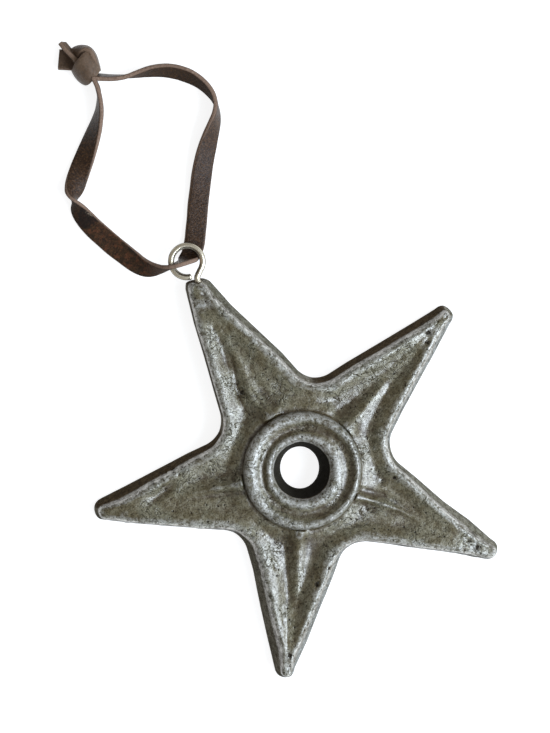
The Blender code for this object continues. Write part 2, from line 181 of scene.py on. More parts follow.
# Each arm's turn from the even fifth (degrees), reach, taper (degrees) and tip radius, as in the CAD model,
# where its hollow ends, and its anticlockwise and clockwise Side: the run of the wall at the tip and at the
# notch, the depth of the hollow inside the rim, the run of the slope down to it, and how far the outline
# stands out from its straight line at BOW_PLACES, from the tip's middle (0) to the notch's (1).
Arm = namedtuple("Arm", "turn reach taper tip_radius hollow_end sides")
Side = namedtuple("Side", "walls hollow slope bows")
ARMS = (
    Arm(-0.8, 60.0, 15.0, 3.8, 54.0,
        (Side((0.6, 0.6), 2.3, 5.4, (1.2, 0.4, 0.4, 0.0, -0.3, -0.7)),
         Side((2.6, 1.6), 0.5, 4.0, (0.0, 0.0, -0.4, 0.0, 0.5, 0.0)))),
    Arm(0.0, 58.4, 16.3, 3.0, 52.0,
        (Side((1.0, 1.2), 0.9, 4.5, (0.0, -0.2, 0.2, 0.3, 0.5, 0.1)),
         Side((3.0, 1.2), 1.3, 5.0, (0.2, 0.3, 0.1, 0.0, -0.1, -0.7)))),
    Arm(2.1, 59.2, 17.3, 3.0, 54.0,
        (Side((2.4, 2.0), 1.9, 4.8, (0.0, -0.5, 0.0, 0.0, 0.2, -0.1)),
         Side((2.8, 2.2), 1.9, 5.0, (0.1, 0.1, 0.1, 0.0, -0.4, 0.1)))),
    Arm(0.6, 60.7, 15.0, 3.0, 50.0,
        (Side((2.8, 1.2), 1.5, 4.6, (0.0, -0.3, 0.1, -0.3, 0.2, 0.3)),
         Side((1.2, 1.2), 1.7, 4.6, (0.2, 0.1, -0.3, -0.2, -0.2, -0.1)))),
    Arm(-1.4, 61.1, 15.0, 3.0, 55.0,
        (Side((2.0, 1.7), 1.8, 4.4, (0.2, -0.1, -0.1, 0.0, 0.2, 0.0)),
         Side((2.2, 1.9), 1.6, 4.6, (0.2, -0.1, 0.0, -0.1, -0.1, 0.3)))),
)
BOW_PLACES = (0.045, 0.1, 0.3, 0.5, 0.75, 1.0)
NOTCH_RADIUS = 7.7
HUB_RADIUS = 16.9
RIM_HEIGHT = 9.0
TIP_HEIGHT = 7.5
TIP_FALL_LENGTH = 16.0
CREST_WIDTH = 2.4
CREST_DROP = 1.6
BACK_ROUND = 0.3
WALL_CURVE = 0.65
WIDEST_WALL = 0.55
HOLLOW_FADE = 20.0
# The face rises towards the hub by this much, over about this width.
SKIRT_HEIGHT = 1.4
SKIRT_WIDTH = 2.8
# Lines over the face from the tip, the side and the notch, and the points of a line: up the wall, over the
# outer half of the rounded crest, and inside it.
TIP_STEPS = 12
SIDE_STEPS = 62
NOTCH_STEPS = 32
WALL_SHARES = (0, 0, 0.1, 0.25, 0.45, 0.7, 1.0)
CREST_SHARES = (0.1, 0.25, 0.45, 0.7, 1.0)
INNER_STEPS = 30

# Ridges and creases of the face: the arm, a line's places along it and to its anticlockwise side, and the
# height and the half width at the line's start and end.
STROKES = (
    # The ribs that run out from the hub.
    (0, ((14.5, -0.5), (24.0, 1.5), (33.0, 0.5), (40.0, 0.0)), (1.5, 0.2), (2.6, 1.6)),
    (1, ((14.5, 0.0), (24.0, 0.0), (33.0, 0.0)), (1.5, 0.3), (1.5, 0.8)),
    (2, ((14.5, 0.5), (24.0, 1.0), (35.0, 1.0)), (1.9, 0.2), (2.6, 0.9)),
    (3, ((14.5, -1.0), (22.0, 0.0), (29.0, 0.5), (37.0, 0.0)), (1.5, 0.1), (1.2, 0.6)),
    (4, ((14.5, -1.5), (24.0, -1.0), (34.5, 0.0)), (1.7, 0.3), (2.8, 1.0)),
    # Creases and lesser ridges of the arm with the eye.
    (0, ((38.0, 1.5), (33.0, 2.5), (28.5, 4.5), (25.5, 5.5), (22.5, 5.5)), (-0.2, -0.5), (0.6, 0.5)),
    (0, ((27.0, 1.5), (22.5, 1.0), (18.0, 0.0)), (-0.3, -0.5), (0.5, 0.5)),
    (0, ((29.0, -2.0), (23.0, -3.5), (18.5, -4.0)), (0.4, 0.4), (1.3, 1.4)),
    (0, ((46.0, 2.0), (40.0, 2.5), (34.0, 4.0)), (-0.3, -0.5), (1.2, 1.4)),
    (0, ((60.0, 3.0), (57.0, 2.5)), (-1.2, -0.8), (0.5, 0.5)),
    # Those of the other arms.
    (1, ((15.5, 3.0), (24.0, 2.0), (31.0, 1.5)), (-0.5, -0.1), (0.8, 0.6)),
    (1, ((15.5, -3.5), (24.0, -3.5), (32.0, -3.0)), (-0.5, -0.2), (1.3, 1.2)),
    (1, ((34.5, -4.5), (38.0, -2.5), (43.0, 0.5)), (-1.0, -0.6), (1.8, 1.6)),
    (2, ((18.0, -3.5), (28.0, -2.0), (38.0, -0.5)), (-0.5, -0.4), (1.3, 1.0)),
    (3, ((17.5, 5.5), (22.0, 7.0), (26.0, 7.5)), (-0.4, -0.3), (1.4, 1.2)),
    (3, ((16.5, 1.5), (24.0, 2.5), (31.0, 2.0)), (-0.5, -0.1), (0.9, 0.8)),
    (4, ((17.0, 4.0), (25.0, 2.5), (33.0, 1.5)), (-0.7, -0.2), (1.6, 1.2)),
)
STROKE_FADE = 2.5

# The largest casting pits: arm, place along it and to its anticlockwise side, and radius. Smaller ones are
# scattered round the rims and tips. The depth is a share of the radius.
PITS = (
    (0, 26.0, -9.0, 0.5), (0, 26.5, 4.0, 0.8), (0, 55.0, 0.0, 0.6), (0, 53.0, 0.5, 0.5), (1, 34.5, -7.5, 0.8),
    (1, 33.0, -6.0, 0.6), (2, 23.0, 10.5, 0.6), (2, 26.5, 9.5, 0.6), (2, 31.0, 6.5, 0.8), (2, 51.5, 0.5, 0.8),
    (2, 54.5, 1.0, 0.7), (3, 22.0, 6.0, 0.7), (3, 24.5, 8.0, 0.7), (3, 50.5, 0.5, 0.8), (3, 53.5, -0.5, 0.8),
    (4, 51.5, 0.5, 0.8), (4, 49.5, -1.0, 0.8), (4, 51.0, -3.5, 0.6),
)
PIT_DEPTH = 0.75
SCATTERED_PITS = 70

# Radius and height of the turned hub, from its foot to the back of the hole, which lies inside HOLE_EDGE.
HUB_PROFILE = (
    (16.35, 9.2), (16.15, 10.1), (15.85, 10.8), (15.4, 11.3), (14.9, 11.5), (14.3, 11.45), (13.7, 11.15),
    (13.1, 10.7), (12.5, 10.3), (11.9, 10.05), (11.3, 10.1), (10.7, 10.5), (10.1, 10.85), (9.6, 11.05),
    (9.1, 11.05), (8.6, 10.85), (8.2, 10.4), (7.9, 9.7), (7.7, 8.8), (7.4, 7.6), (7.0, 6.0), (6.5, 4.0),
    (6.0, 2.0), (5.65, 0.3), (5.9, 0.0),
)
HOLE_EDGE = 8
HOLE_OVAL = 0.04
# The groove isn't quite round the hole: it is shifted to one side, given by its angle in the picture.
GROOVE_SHIFT = 1.0
GROOVE_SIDE = -10
GROOVE_RADIUS = 12.5
GROOVE_WIDTH = 2.5

# The casting's uneven skin: height, size and seed of each layer of noise. TIP_SKIN is added near the tips,
# which are rubbed bright from TIP_WEAR_START out.
SKIN = ((0.15, 7.0, 1.0), (0.10, 2.6, 2.0), (0.05, 1.0, 3.0))
TIP_SKIN = (0.18, 1.8, 5.0)
TIP_WEAR_START = 46.0
TIP_WEAR_FADE = 8.0

# Wear and dirt: the rounds that smooth the surface a place is compared with, and how proud is fully worn.
PROUD = ((8, 0.20), (120, 0.70))

# The side walls are painted rusty dark brown, rust and painted shade, where they face this way, given by its angle in
# the picture, and lighter or darker by the other ways they face, as painted light and shade.
SHADED_RUSTY_SIDE = 122

# The wire eye.
WIRE_RADIUS = 0.85
EYE_RADIUS = 4.35
EYE_HEIGHT = 3.75
EYE_STANDOFF = 5.4
EYE_OFFSET = -0.5
EYE_LEG_START = 0.15
EYE_BEND = 1.2
EYE_OPEN_END = 254
SHANK_SHOWN = 4.0

LACE_WIDTH = 5.8 * MM
LACE_THICKNESS = 1.2 * MM
LACE_SECTIONS = 440
REST_GAP = 0.2 * MM
# Places over a face of the strip and round its edge, in shares of its half width and half thickness.
STRIP_FACE = np.linspace(0.93, -0.93, 10)
STRIP_EDGE = ((0.9825, 0.6), (1, 0), (0.9825, -0.6))

# The lace's route, as in the CAD model: x and y from the middle of the eye, roll of the strip and lift. The
# first row here and the last of the way back lie inside the knot.
ROUTE_DOWN = (
    (3.0, 56.6, 70, 0.7), (5.3, 55.0, 72, 0.5), (9.0, 52.8, 74, 0.2), (12.4, 51.7, 84, 0),
    (15.5, 50.9, 97, 0), (18.8, 49.7, 107, 0), (22.1, 47.9, 114, 0), (24.9, 45.3, 117, 0),
    (27.3, 42.2, 112, 0), (28.7, 38.6, 104, 0), (29.1, 35.2, 94, 0), (28.3, 32.2, 82, 0),
    (26.1, 29.5, 66, 0), (23.1, 26.9, 49, 0), (20.4, 24.3, 35, 0), (17.5, 21.3, 22, 0), (14.5, 17.4, 14, 0),
    (11.5, 13.5, 7, 0), (8.6, 9.3, 8, 0.1),
)
# Through the eye: a place on one edge of the strip and the place opposite on its other edge.
ROUTE_THROUGH = (
    ((3.5, 6.4, 1.2), (7.6, 3.5, 1.0)), ((2.2, 4.5, 1.2), (6.0, 1.6, 1.2)),
    ((1.0, 2.9, 1.1), (4.6, 0.5, 1.2)), ((-0.4, 1.8, 1.3), (2.9, -0.3, 2.0)),
    ((-1.2, 1.2, 2.0), (1.9, -0.6, 3.8)), ((-1.6, 0.9, 3.2), (1.6, -0.8, 6.2)),
    ((-2.2, 0.8, 4.8), (0.6, -0.7, 8.6)), ((-3.5, 0.7, 5.8), (-1.2, -0.4, 10.2)),
    ((-5.1, 0.8, 5.8), (-3.4, 0.0, 10.7)), ((-7.2, 1.0, 4.6), (-6.1, 1.2, 9.6)),
    ((-9.9, 1.2, 2.6), (-8.1, 3.1, 7.4)), ((-12.7, 2.5, 1.2), (-9.9, 6.2, 4.4)),
)
ROUTE_UP = (
    (-13.3, 8.7, -162, 0.5), (-15.4, 14.1, -172, 0), (-16.9, 18.2, -168, 0), (-18.1, 22.3, -160, 0),
    (-18.8, 26.0, -142, 0), (-19.0, 28.5, -118, 0), (-18.7, 30.2, -88, 0), (-18.0, 31.4, -56, 0),
    (-16.8, 32.8, -30, 0), (-14.9, 34.9, -8, 0), (-12.5, 36.9, 6, 0), (-9.7, 39.1, 20, 0),
    (-5.9, 42.2, 38, 0), (-2.7, 45.0, 55, 0), (0.0, 47.8, 72, 0), (1.8, 50.9, 84, 0), (2.5, 52.8, 90, 0.3),
    (2.8, 54.0, 92, 0.5), (2.9, 56.0, 92, 0.6),
)

# The knot's turns, each given by both edges of the strip: the wrap over the top and round underneath, and the
# band behind it. Then its two cut tails, given as the lace's route is, with their widths.
KNOT_WRAP = (
    ((0.1, 56.6, 1.1), (-0.7, 61.5, 1.3)), ((0.7, 55.4, 2.6), (-0.8, 60.9, 3.5)),
    ((1.6, 55.2, 4.6), (0.0, 61.6, 5.6)), ((2.6, 55.4, 5.6), (1.1, 61.8, 6.8)),
    ((3.7, 55.7, 5.9), (2.4, 62.2, 7.4)), ((4.7, 56.2, 5.5), (3.6, 62.8, 7.3)),
    ((5.3, 57.1, 4.5), (4.6, 63.0, 6.7)), ((5.6, 58.0, 3.0), (5.4, 62.8, 5.2)),
    ((5.2, 58.2, 1.5), (5.4, 62.2, 3.0)), ((3.8, 57.6, 0.9), (4.0, 61.6, 1.1)),
    ((1.8, 57.0, 0.9), (1.4, 61.5, 0.9)), ((0.3, 56.6, 1.2), (-0.3, 61.5, 1.3)),
)
KNOT_BAND = (
    ((0.8, 61.9, 3.5), (0.9, 65.8, 2.0)), ((2.0, 62.5, 5.0), (1.7, 66.1, 3.0)),
    ((3.5, 63.3, 6.3), (3.3, 65.8, 3.3)), ((4.7, 63.4, 7.0), (4.9, 65.1, 3.0)),
    ((5.6, 62.5, 7.2), (6.0, 64.0, 2.6)), ((5.8, 61.2, 7.0), (6.4, 62.7, 2.2)),
    ((5.4, 59.7, 6.6), (6.3, 61.0, 1.9)), ((5.0, 58.2, 6.0), (5.8, 59.2, 1.7)),
    ((4.6, 56.8, 5.4), (5.2, 57.6, 1.4)),
)
KNOT_TAILS = (
    (4.8, ((2.4, 60.6, 96, 0.8), (1.4, 63.0, 102, 0.9), (0.7, 66.0, 105, 1.0), (0.3, 68.6, 105, 1.0))),
    (5.8, ((2.4, 62.2, -6, 0.6), (0.4, 63.6, -10, 0.4), (-1.2, 64.6, -12, 0.2), (-2.7, 65.6, -12, 0))),
)
KNOT_CORE_CENTRE = (2.7, 60.2, 3.3)
KNOT_CORE_SIZE = (9.0, 5.6, 5.0)
KNOT_CORE_TURN = 69

# Marks on the flesh side of the lace, with their places from the middle of the eye and their sizes.
LACE_MARKS = (("smear", (-17.6, 24.2), 3.4), ("flecks", (-16.0, 25.0), 1.6), ("rust", (-14.0, 14.0), 15.0))

# The window's direction, as an angle in the picture and an elevation, and the sky from its far side to it.
WINDOW = (-20, 20)
SKY_COLOURS = ((0.25, (0.26, 0.25, 0.24, 1)), (0.6, (0.34, 0.34, 0.34, 1)), (0.95, (0.8, 0.88, 1.0, 1)))
LAMP_DIRECTION = (-14, 44)
LAMP_DISTANCE = 0.8
LAMP_TARGET = Vector((0, 0.02, 0.005))
LAMP_SIZE = (0.6, 0.45)
LAMP_POWER = 8.6
LAMP_COLOUR = (0.78, 0.88, 1.0)
FLOOR_ENDS = (-15, 15)
FLOOR_GAP = 0.05 * MM


def srgb(red, green, blue):
    """A colour given as it looks on screen, from 0 to 255, as a linear colour."""
    linear = []
    for value in (red, green, blue):
        value /= 255
        linear.append(value / 12.92 if value <= 0.04045 else ((value + 0.055) / 1.055) ** 2.4)
    return (*linear, 1.0)


def add_object(name, data):
    obj = bpy.data.objects.new(name, data)
    bpy.context.scene.collection.objects.link(obj)
    return obj


def make_camera():
    """A camera over the star, tilted a little, that puts the star's centre on its pixel of the photograph."""
    tilt_x, tilt_y = CAMERA_TILT
    up = Vector((0, 1, tilt_y))
    back = Vector((1, 0, tilt_x)).cross(up).normalized()
    right = up.cross(back).normalized()
    turn = Matrix.Rotation(radians(-PHOTO_TURN), 3, "Z")
    axes = turn @ Matrix((right, back.cross(right), back)).transposed()
    offset_x = (PHOTO_SIZE[0] / 2 - STAR_PIXEL[0]) / PIXELS_PER_MM * MM
    offset_y = (STAR_PIXEL[1] - PHOTO_SIZE[1] / 2) / PIXELS_PER_MM * MM
    place = STAR_CENTRE + axes @ Vector((offset_x, offset_y, CAMERA_DISTANCE))
    data = bpy.data.cameras.new("camera")
    data.sensor_width = 36
    data.lens = data.sensor_width * PIXELS_PER_MM / MM * CAMERA_DISTANCE / max(PHOTO_SIZE)
    data.clip_start = 10 * MM
    data.clip_end = 10
    camera = add_object("camera", data)
    camera.matrix_world = Matrix.Translation(place) @ axes.to_4x4()
    bpy.context.scene.camera = camera


def set_attribute(mesh, label, values):
    mesh.attributes.new(label, "FLOAT", "POINT").data.foreach_set("value", np.asarray(values, np.float32))


def add_mesh(name, verts, faces, material, body, slot, attributes=()):
    """A smooth-shaded mesh piece that rides on a body. Each attribute is a name and one value a vertex."""
    mesh = bpy.data.meshes.new(name)
    mesh.from_pydata(verts, [], faces)
    for label, values in attributes:
        set_attribute(mesh, label, values)
    mesh.materials.append(material)
    work = bmesh.new()
    work.from_mesh(mesh)
    bmesh.ops.recalc_face_normals(work, faces=work.faces)
    work.to_mesh(mesh)
    work.free()
    mesh.shade_smooth()
    obj = add_object(name, mesh)
    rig.ride(obj, body)
    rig.slot(obj, slot)
    return obj


def quads(rows):
    """Faces between each row of vertex numbers and the one after it."""
    faces = []
    for row, after in zip(rows, rows[1:]):
        faces += zip(row, after, after[1:], row[1:])
    return faces


def tube_faces(rings, sides):
    """Faces of a closed tube whose vertices are listed ring by ring."""
    rows = [[*range(first, first + sides), first] for first in range(0, rings * sides, sides)]
    return quads(rows) + [rows[0][:-1], rows[-1][-2::-1]]


# Lace

# A section of a strip: its middle, the way across it, the way out of its grain face and half its width.
Section = namedtuple("Section", "middle across out half_width")


def smooth_curve(controls, count):
    """Points of a uniform cubic spline that runs close by its control points, from the first to the last."""
    padded = [2 * controls[0] - controls[1]] + controls + [2 * controls[-1] - controls[-2]]
    spans = len(padded) - 3
    points = []
    for place in np.linspace(0, spans, count):
        span = min(int(place), spans - 1)
        t = place - span
        a, b, c, d = padded[span:span + 4]
        points.append((a * (1 - t) ** 3 + b * (3 * t ** 3 - 6 * t ** 2 + 4)
                       + c * (-3 * t ** 3 + 3 * t ** 2 + 3 * t + 1) + d * t ** 3) / 6)
    return points


def way_at(middles, index):
    return (middles[min(len(middles) - 1, index + 1)] - middles[max(0, index - 1)]).normalized()


def laid_rows(route, width=LACE_WIDTH):
    """Middle of the strip and direction across it for a route that lies on the resting plane."""
    places = [Vector((x, y, 0)) for x, y, _, _ in route]
    rows = []
    for index, (x, y, roll, lift) in enumerate(route):
        way = way_at(places, index)
        roll = radians(roll)
        height = REST_GAP + width / 2 * abs(sin(roll)) + LACE_THICKNESS / 2 * abs(cos(roll)) + lift * MM
        rows.append((Vector((x * MM, y * MM, height)), way.cross(UP) * cos(roll) + UP * sin(roll)))
    return rows


def edged_rows(route):
    edges = [(Vector(right) * MM, Vector(left) * MM) for right, left in route]
    return [((right + left) / 2, (right - left).normalized()) for right, left in edges]


def make_sections(middles, acrosses, half_widths):
    sections = []
    for index, (middle, across, half_width) in enumerate(zip(middles, acrosses, half_widths)):
        out = across.cross(way_at(middles, index)).normalized()
        sections.append(Section(middle, across.normalized(), out, half_width))
    return sections


def strip_sections(rows, count, width=LACE_WIDTH):
    middles = smooth_curve([EYE_CENTRE + place for place, _ in rows], count)
    return make_sections(middles, smooth_curve([across for _, across in rows], count), [width / 2] * count)


def edge_sections(route, count):
    """Sections of a strip given by both its edges, so that its width follows them."""
    edges = [[EYE_CENTRE + Vector(place) * MM for place in edge] for edge in zip(*route)]
    curves = [smooth_curve(edge, count) for edge in edges]
    middles = [(right + left) / 2 for right, left in zip(*curves)]
    acrosses = [right - left for right, left in zip(*curves)]
    return make_sections(middles, acrosses, [across.length / 2 for across in acrosses])


def strip_outline():
    """Points round a strip's section, each with its face: 1 grain, -1 flesh and 0 a cut edge."""
    points = []
    for face in (1, -1):
        points += [(face * x, face, face) for x in STRIP_FACE]
        points += [(-face * x, face * y, 0) for x, y in STRIP_EDGE]
    return points


def strip_geometry(sections, seed, bulge=0.06):
    """Vertices, faces and attributes of a leather strip with a crowned face and uneven cut edges."""
    outline = strip_outline()
    verts, alongs = [], []
    travelled = 0
    for index, section in enumerate(sections):
        if index:
            travelled += (section.middle - sections[index - 1].middle).length
        far = travelled / MM
        for x, y, face in outline:
            waver = noise.noise(Vector((far / 4, 7 * (1 if x > 0 else -1), seed)))
            lump = noise.noise(Vector((far / 2.5, x * 1.2, seed + face)))
            crease = noise.noise(Vector((far / 1.1, x * 0.7 + far / 6, seed + 9 * face)))
            wide = x * section.half_width * (1 + 0.03 * waver)
            swell = bulge * (1 - x * x) + (0.05 * lump + 0.025 * crease) * abs(face)
            high = y * LACE_THICKNESS / 2 + swell * MM
            vert = section.middle + section.across * wide + section.out * high
            vert.z = max(vert.z, 0)
            verts.append(vert)
            alongs.append(far)
    acrosses, _, faces_of = [values * len(sections) for values in zip(*outline)]
    attributes = [("along", alongs), ("across", acrosses), ("face", faces_of)]
    return verts, tube_faces(len(sections), len(outline)), attributes


def spot(verts, faces_of, place, size):
    """A soft round spot on the flesh side of the lace, 1 in its middle."""
    centre = EYE_CENTRE + Vector((*place, 0)) * MM
    nears = [(vert - centre).xy.length / (size * MM) for vert in verts]
    return [max(0.0, 1 - near * near) if face < 0.5 else 0.0 for near, face in zip(nears, faces_of)]


def build_lace(leather):
    rows = laid_rows(ROUTE_DOWN) + edged_rows(ROUTE_THROUGH) + laid_rows(ROUTE_UP)
    sections = strip_sections(rows, LACE_SECTIONS)
    verts, faces, attributes = strip_geometry(sections, 3)
    faces_of = dict(attributes)["face"]
    attributes += [(label, spot(verts, faces_of, place, size)) for label, place, size in LACE_MARKS]
    lace = add_mesh("lace_strip", verts, faces, leather, "lace", "lace_leather", attributes)
    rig.replaces(lace, "lace_loop")
    path = [tuple(section.middle) for section in sections[::3]] + [tuple(sections[-1].middle)]
    length = sum((Vector(b) - Vector(a)).length for a, b in zip(path, path[1:]))
    return lace, path, length


def add_knot_strip(name, sections, leather, seed, bulge=0.06):
    verts, faces, attributes = strip_geometry(sections, seed, bulge)
    return add_mesh(name, verts, faces, leather, "lace", "knot_leather", attributes)


def build_knot_core(leather):
    """The turns inside the knot, seen only in gaps between the outer ones."""
    work = bmesh.new()
    bmesh.ops.create_icosphere(work, subdivisions=4, radius=0.5)
    turn = Matrix.Rotation(radians(KNOT_CORE_TURN), 3, "Z")
    centre = EYE_CENTRE + Vector(KNOT_CORE_CENTRE) * MM
    verts = []
    for vert in work.verts:
        fold = 1 + 0.10 * noise.noise(vert.co * 6) + 0.05 * sin(22 * vert.co.x + 9 * vert.co.y)
        verts.append(centre + turn @ (vert.co * Vector(KNOT_CORE_SIZE)) * MM * fold)
    faces = [[vert.index for vert in face.verts] for face in work.faces]
    work.free()
    values = [0.0] * len(verts)
    attributes = [("along", values), ("across", values), ("face", [-1.0] * len(verts))]
    return add_mesh("knot_core", verts, faces, leather, "lace", "knot_leather", attributes)


def build_knot(leather):
    """The knot's wrap and band, its core and its cut tails."""
    wrap = add_knot_strip("knot_wrap", edge_sections(KNOT_WRAP, 90), leather, 11, 0.45)
    core = build_knot_core(leather)
    band = add_knot_strip("knot_band", edge_sections(KNOT_BAND, 60), leather, 13, 0.25)
    pieces = [wrap, core, band]
    for number, (width, route) in enumerate(KNOT_TAILS):
        sections = strip_sections(laid_rows(route, width * MM), 26, width * MM)
        pieces.append(add_knot_strip(f"knot_tail_{number + 1}", sections, leather, 20 + number))
    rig.replaces(wrap, "lace_knot")
    return pieces


# Star

def smooth_step(value):
    value = np.clip(value, 0, 1)
    return value * value * (3 - 2 * value)


def arm_frame(number):
    """An arm's middle line and its anticlockwise side, with the place where its straight sides would meet."""
    arm = ARMS[number]
    angle = pi / 2 + number * 2 * pi / len(ARMS) + radians(arm.turn)
    taper = radians(arm.taper)
    point = arm.reach + arm.tip_radius * (1 / sin(taper) - 1)
    axis = np.array((cos(angle), sin(angle)))
    side = np.array((-sin(angle), cos(angle)))
    return axis, side, taper, point, point - arm.tip_radius / sin(taper)


# A line over the face, from a foot on the outline to an end on the arm's middle line or on the hub, with the
# run of the wall, the depth of the hollow by the rim and at the end, the run of its slope and the arm.
Station = namedtuple("Station", "foot end wall hollow inner slope number")


def side_of(number, side):
    return ARMS[number].sides[0 if side == 1 else 1]


def side_profile(number, side):
    """Wall run at tip and notch, depth of the hollow by the rim and in the middle, and run of its slope."""
    own = side_of(number, side)
    return np.array((*own.walls, own.hollow, (own.hollow + side_of(number, -side).hollow) / 2, own.slope))


def side_outline(number, side):
    """The outline from where an arm's sides would meet to the middle of its notch: the place at each distance
    along it, and the distances at which the straight side and the arc of the notch end."""
    axis, across, taper, point, _ = arm_frame(number)
    other_axis, other_across, other_taper, other_point, _ = arm_frame((number + side) % len(ARMS))
    along_side = across * side * sin(taper) - axis * cos(taper)
    along_other = -other_across * side * sin(other_taper) - other_axis * cos(other_taper)
    sides = np.transpose((along_side, -along_other))
    notch = np.linalg.solve(sides, other_axis * other_point - axis * point)[0]
    half_notch = 0.5 * acos(along_side @ along_other)
    side_end = notch - NOTCH_RADIUS / tan(half_notch)
    outward = -(along_side + along_other)
    outward /= np.linalg.norm(outward)
    centre = axis * point + along_side * notch + outward * NOTCH_RADIUS / sin(half_notch)
    turn = pi / 2 - half_notch
    square = np.array((outward[1], -outward[0])) * side

    def foot_at(along):
        if along <= side_end:
            return axis * point + along_side * along
        angle = turn - (along - side_end) / NOTCH_RADIUS
        return centre - outward * NOTCH_RADIUS * cos(angle) + square * NOTCH_RADIUS * sin(angle)

    return foot_at, side_end, side_end + NOTCH_RADIUS * turn


def half_arm(number, side):
    """Stations from the middle of the tip to the notch, on the anticlockwise (1) or clockwise (-1) side."""
    axis, across, taper, point, tip_centre = arm_frame(number)
    foot_at, side_end, notch_end = side_outline(number, side)
    profile = side_profile(number, side)
    other_profile = side_profile((number + side) % len(ARMS), -side)
    tip_profile = (profile + side_profile(number, -side)) / 2
    stations = []
    for share in np.linspace(0, 1, TIP_STEPS + 1):
        angle = (pi / 2 - taper) * share
        out = axis * cos(angle) + across * side * sin(angle)
        foot = axis * tip_centre + out * ARMS[number].tip_radius
        stations.append((foot, axis * tip_centre, tip_profile + (profile - tip_profile) * share))
    straight = min(side_end, (point - HUB_RADIUS) * cos(taper))
    last_on_line = point - straight / cos(taper)
    notch_way = foot_at(notch_end)
    full_turn = acos(min(1.0, notch_way @ axis / np.linalg.norm(notch_way)))
    to_hub = last_on_line - HUB_RADIUS
    hub_start = straight + (notch_end - straight) * to_hub / (to_hub + full_turn * HUB_RADIUS)
    for meeting in np.linspace(tip_centre, HUB_RADIUS, SIDE_STEPS + 1)[1:]:
        along = (point - meeting) * cos(taper)
        if meeting < last_on_line:
            along = straight + (hub_start - straight) * (last_on_line - meeting) / to_hub
        stations.append((foot_at(along), axis * meeting, profile))
    for share in np.linspace(0, 1, NOTCH_STEPS + 1)[1:]:
        turn = full_turn * share
        end = (axis * cos(turn) + across * side * sin(turn)) * HUB_RADIUS
        foot = foot_at(hub_start + (notch_end - hub_start) * share)
        stations.append((foot, end, profile + (other_profile - profile) * 0.5 * smooth_step(share)))
    return bowed_stations(stations, number, side)


def bowed_stations(stations, number, side):
    """The stations with their feet moved to the uneven outline of the hand-cut pattern."""
    feet = np.array([foot for foot, _, _ in stations])
    steps = np.linalg.norm(np.diff(feet, axis=0), axis=1)
    places = np.concatenate(([0], np.cumsum(steps))) / steps.sum()
    bows = np.interp(places, (0, *BOW_PLACES), (0, *side_of(number, side).bows))
    result = []
    for (foot, end, profile), place, bow in zip(stations, places, bows):
        tip_wall, notch_wall, hollow, inner, slope = profile
        span = np.linalg.norm(foot - end) + bow
        out = (foot - end) / np.linalg.norm(foot - end)
        wall = min(tip_wall + (notch_wall - tip_wall) * place, WIDEST_WALL * span)
        result.append(Station(end + out * span, end, wall, hollow, inner, slope, number))
    return result


def in_star(number, along, across):
    """A place on an arm, from the star's centre."""
    axis, side, _, _, _ = arm_frame(number)
    return axis * along + side * across


def stroke_height(points, arm, line, heights, half_widths):
    """What one ridge or crease adds to the height at each point."""
    line = [in_star(arm, along, across) for along, across in line]
    aways, places = [], []
    travelled = 0
    for start, end in zip(line, line[1:]):
        length = np.linalg.norm(end - start)
        way = (end - start) / length
        along = np.clip((points - start) @ way, 0, length)
        aways.append(np.linalg.norm(points - start - along[..., None] * way, axis=-1))
        places.append(travelled + along)
        travelled += length
    place = np.choose(np.argmin(aways, axis=0), places)
    height = np.interp(place / travelled, (0, 1), heights)
    half_width = np.interp(place / travelled, (0, 1), half_widths)
    fade = 0.35 + 0.65 * smooth_step(np.minimum(place, travelled - place) / STROKE_FADE)
    if np.linalg.norm(line[0]) < HUB_RADIUS:
        fade = np.where(place < travelled / 2, 1.0, fade)
    return height * fade * np.exp(-(np.min(aways, axis=0) / half_width) ** 2)


def relief(points, distance, at, span, half_crest):
    """Height of the decorated face at points that lie a distance in from the outline along their stations."""
    axes = np.array([arm_frame(number)[0] for number in range(len(ARMS))])
    along = (points * axes[at.number]).sum(-1)
    ends = np.array([(arm.reach, arm.hollow_end) for arm in ARMS])
    past = along - ends[at.number, 0] + TIP_FALL_LENGTH
    crest = RIM_HEIGHT + (TIP_HEIGHT - RIM_HEIGHT) * smooth_step(past / TIP_FALL_LENGTH)
    wall_top = crest - CREST_DROP
    up_wall = wall_top * np.clip(distance / at.wall, 0, 1) ** WALL_CURVE
    over_edge = np.clip((distance - at.wall) / half_crest, 0, 1)
    rounded = wall_top + CREST_DROP * np.sqrt(1 - (1 - over_edge) ** 2)
    middle = at.wall + half_crest
    narrowing = np.minimum(1, 0.9 * (span - middle) / (at.slope + 1.0))
    down = smooth_step((distance - middle) / (narrowing * at.slope))
    before_end = ends[at.number, 1] - along
    share = smooth_step((distance - middle) / (span - middle))
    hollow = (at.hollow + (at.inner - at.hollow) * share) * smooth_step(before_end / HOLLOW_FADE)
    height = np.where(distance < middle, rounded, crest - hollow * down)
    height = np.where(distance <= at.wall, up_wall, height)
    clear = smooth_step((distance - at.wall) / 3)
    for stroke in STROKES:
        height += clear * stroke_height(points, *stroke)
    from_hub = np.linalg.norm(points, axis=-1) - HUB_RADIUS
    return height + clear * SKIRT_HEIGHT * np.exp(-(from_hub / SKIRT_WIDTH) ** 2)


def all_pits():
    """Place and radius of the large casting pits and the small scattered ones."""
    pits = [(in_star(arm, along, across), radius) for arm, along, across, radius in PITS]
    chance = random.Random(5)
    for _ in range(SCATTERED_PITS):
        number = chance.randrange(len(ARMS))
        arm = ARMS[number]
        along = arm.reach - 3 - 38 * chance.random() ** 1.5
        half = (arm.reach + 8 - along) * tan(radians(arm.taper))
        across = half * chance.uniform(-0.9, 0.9)
        pits.append((in_star(number, along, across), chance.uniform(0.25, 0.5)))
    return pits


def noise_at(points, scale, seed):
    """Smooth noise between about -1 and 1 at points in millimetres."""
    return np.array([noise.noise(Vector((x / scale, y / scale, seed + z / scale))) for x, y, z in points])


